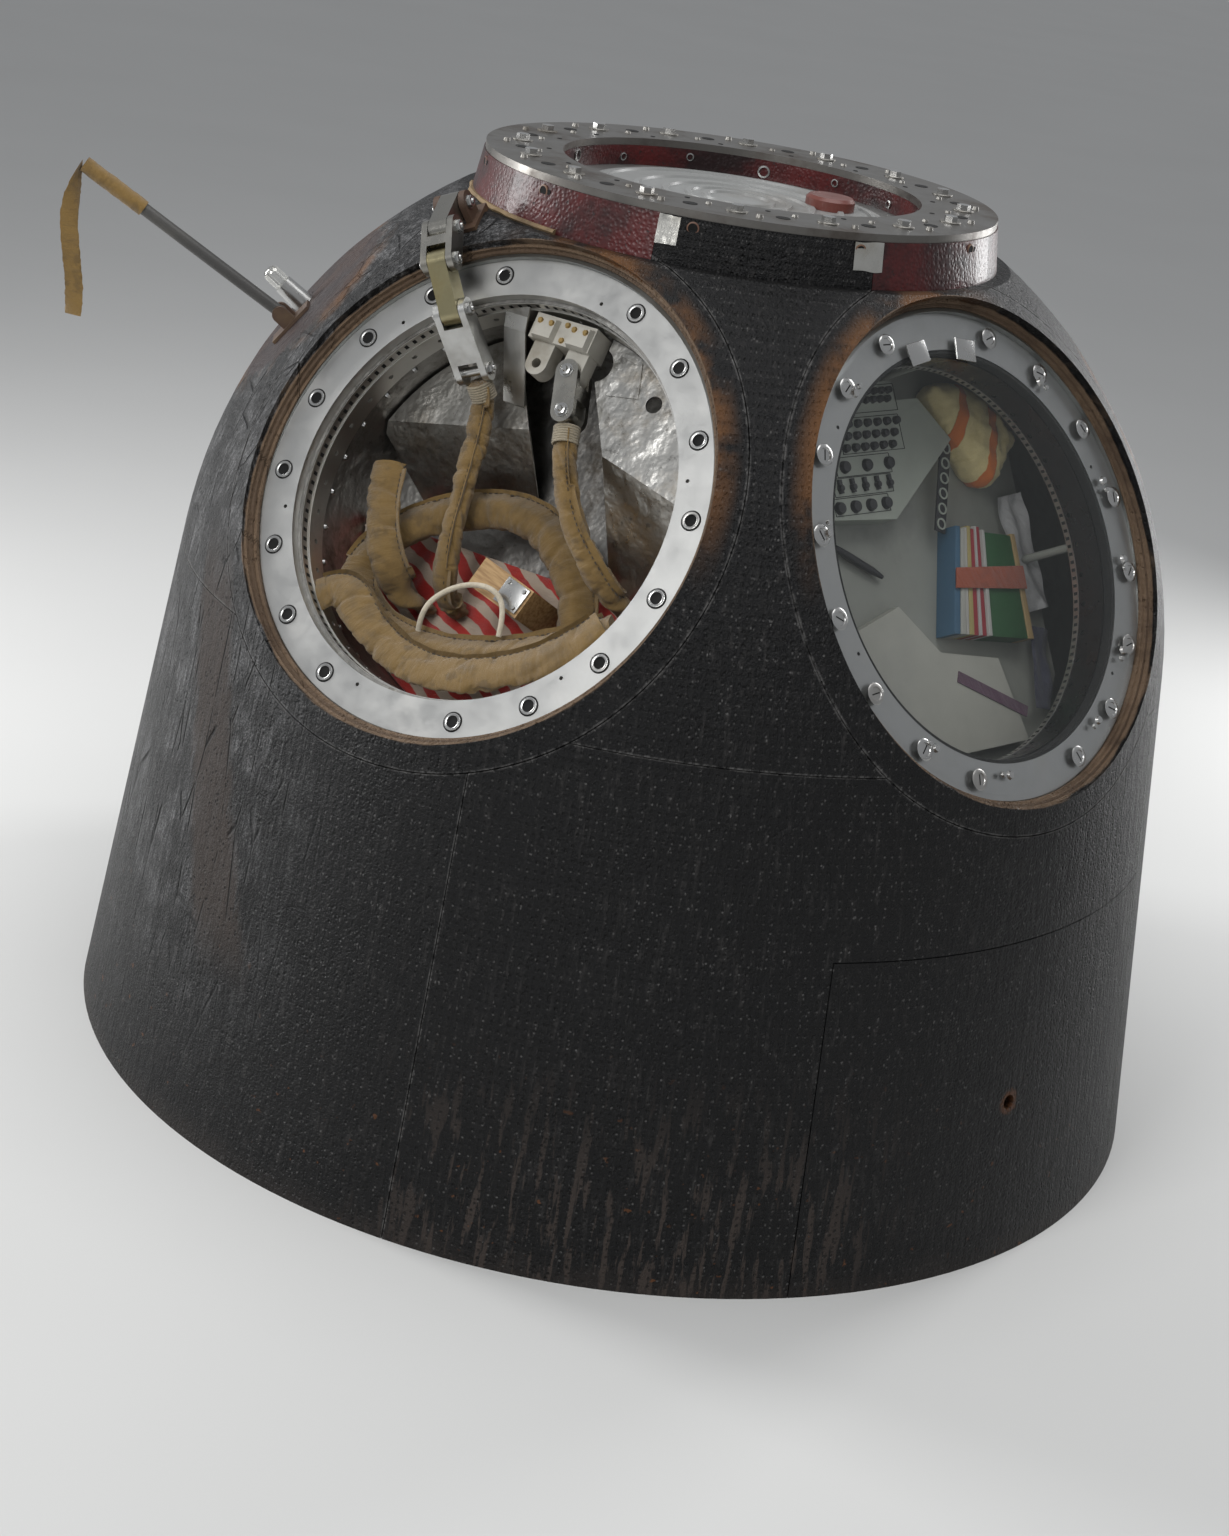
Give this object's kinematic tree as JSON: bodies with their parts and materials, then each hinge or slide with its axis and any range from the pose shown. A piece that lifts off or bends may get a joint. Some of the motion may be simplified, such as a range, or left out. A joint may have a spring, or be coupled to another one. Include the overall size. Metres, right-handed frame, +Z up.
{
  "type": "space capsule",
  "caption": "Bell-shaped crew return capsule with charred ablator panels, two round parachute ports, a docking collar with an inward hatch and a folding whip antenna.",
  "frame": {"origin": "centre of the base rim, on the plane that the capsule stands on", "axes": "+Z up along the capsule's axis to the docking collar, -Y towards the side with the two parachute ports, +X to the right seen from there"},
  "size_m": [2.3274, 2.1999, 1.7983],
  "materials": {
    "ablator": "charred satin",
    "collar_red": "varnished, blistered",
    "flange_metal": "satin machined",
    "hull_metal": "dull",
    "base_metal": "scorched",
    "steel": "satin",
    "thruster_metal": "burnt",
    "drum_metal": "dull pressed",
    "tunnel_red": "satin",
    "hatch_grey": "satin",
    "boss_brown": "satin",
    "clear_cover": "clear polished",
    "lamp_glass": "clear",
    "casting_pale": "matte",
    "khaki_cloth": "woven",
    "canopy_cloth": "woven striped",
    "white_cord": "braided",
    "wood": "bare",
    "panel_green": "satin",
    "bag_yellow": "woven",
    "books": "paper",
    "board_pale": "satin",
    "rack_dark": "matte",
    "antenna_dark": "satin",
    "bracket_brown": "weathered"
  },
  "bodies": {
    "capsule": {"access_panel": "ablator", "antenna_bracket": "bracket_brown", "base_bulkhead": "base_metal", "base_frame": "base_metal", "book_stack": "books", "canopy_pad": "canopy_cloth", "collar_char_panel": "ablator", "collar_skin": "collar_red", "cone_panel_1": "ablator", "cone_panel_2": "ablator", "cone_panel_3": "ablator", "cone_panel_4": "ablator", "control_panel": "panel_green", "dome_back": "ablator", "dome_front": "ablator", "equipment_rack": "rack_dark", "hatch_bracket": "steel", "hull_lower": "hull_metal", "hull_upper": "hull_metal", "lamp_base": "steel", "lamp_glass": "lamp_glass", "left_link_1": "steel", "left_link_2": "steel", "left_link_3": "steel", "left_link_4": "casting_pale", "liner_plate": "drum_metal", "link_casting": "casting_pale", "main_band": "drum_metal", "main_bezel": "ablator", "main_drum": "drum_metal", "main_flange": "flange_metal", "main_inserts": "steel", "release_block": "wood", "release_cord": "white_cord", "reserve_band": "drum_metal", "reserve_bezel": "ablator", "reserve_flange": "flange_metal", "right_link": "steel", "riser_fold": "khaki_cloth", "riser_hem": "khaki_cloth", "riser_left": "khaki_cloth", "riser_loop": "khaki_cloth", "riser_lug": "bracket_brown", "riser_right": "khaki_cloth", "seat_board": "board_pale", "seat_plate": "hull_metal", "side_plate": "drum_metal", "stowage_bag": "bag_yellow", "thrusters": "thruster_metal", "top_flange": "flange_metal", "top_studs": "steel", "tunnel_liner": "tunnel_red", "window_cover": "clear_cover", "window_screws": "steel"},
    "hatch": {"hatch_lid": "hatch_grey", "hatch_boss": "boss_brown"},
    "antenna": {"antenna_rod": "antenna_dark", "antenna_sleeve": "khaki_cloth", "antenna_tape": "khaki_cloth"}
  },
  "joints": [
    {"name": "hatch_hinge", "type": "hinge", "parent": "capsule", "child": "hatch", "pos_m": [-0.0504, 0.3413, 1.695], "axis": [0.9893, 0.1461, 0], "range_deg": [0, 95]},
    {"name": "antenna_fold", "type": "hinge", "parent": "capsule", "child": "antenna", "pos_m": [-0.82956, -0.1225, 1.40959], "axis": [-0.1461, 0.9893, 0], "range_deg": [0, 85]}
  ]
}
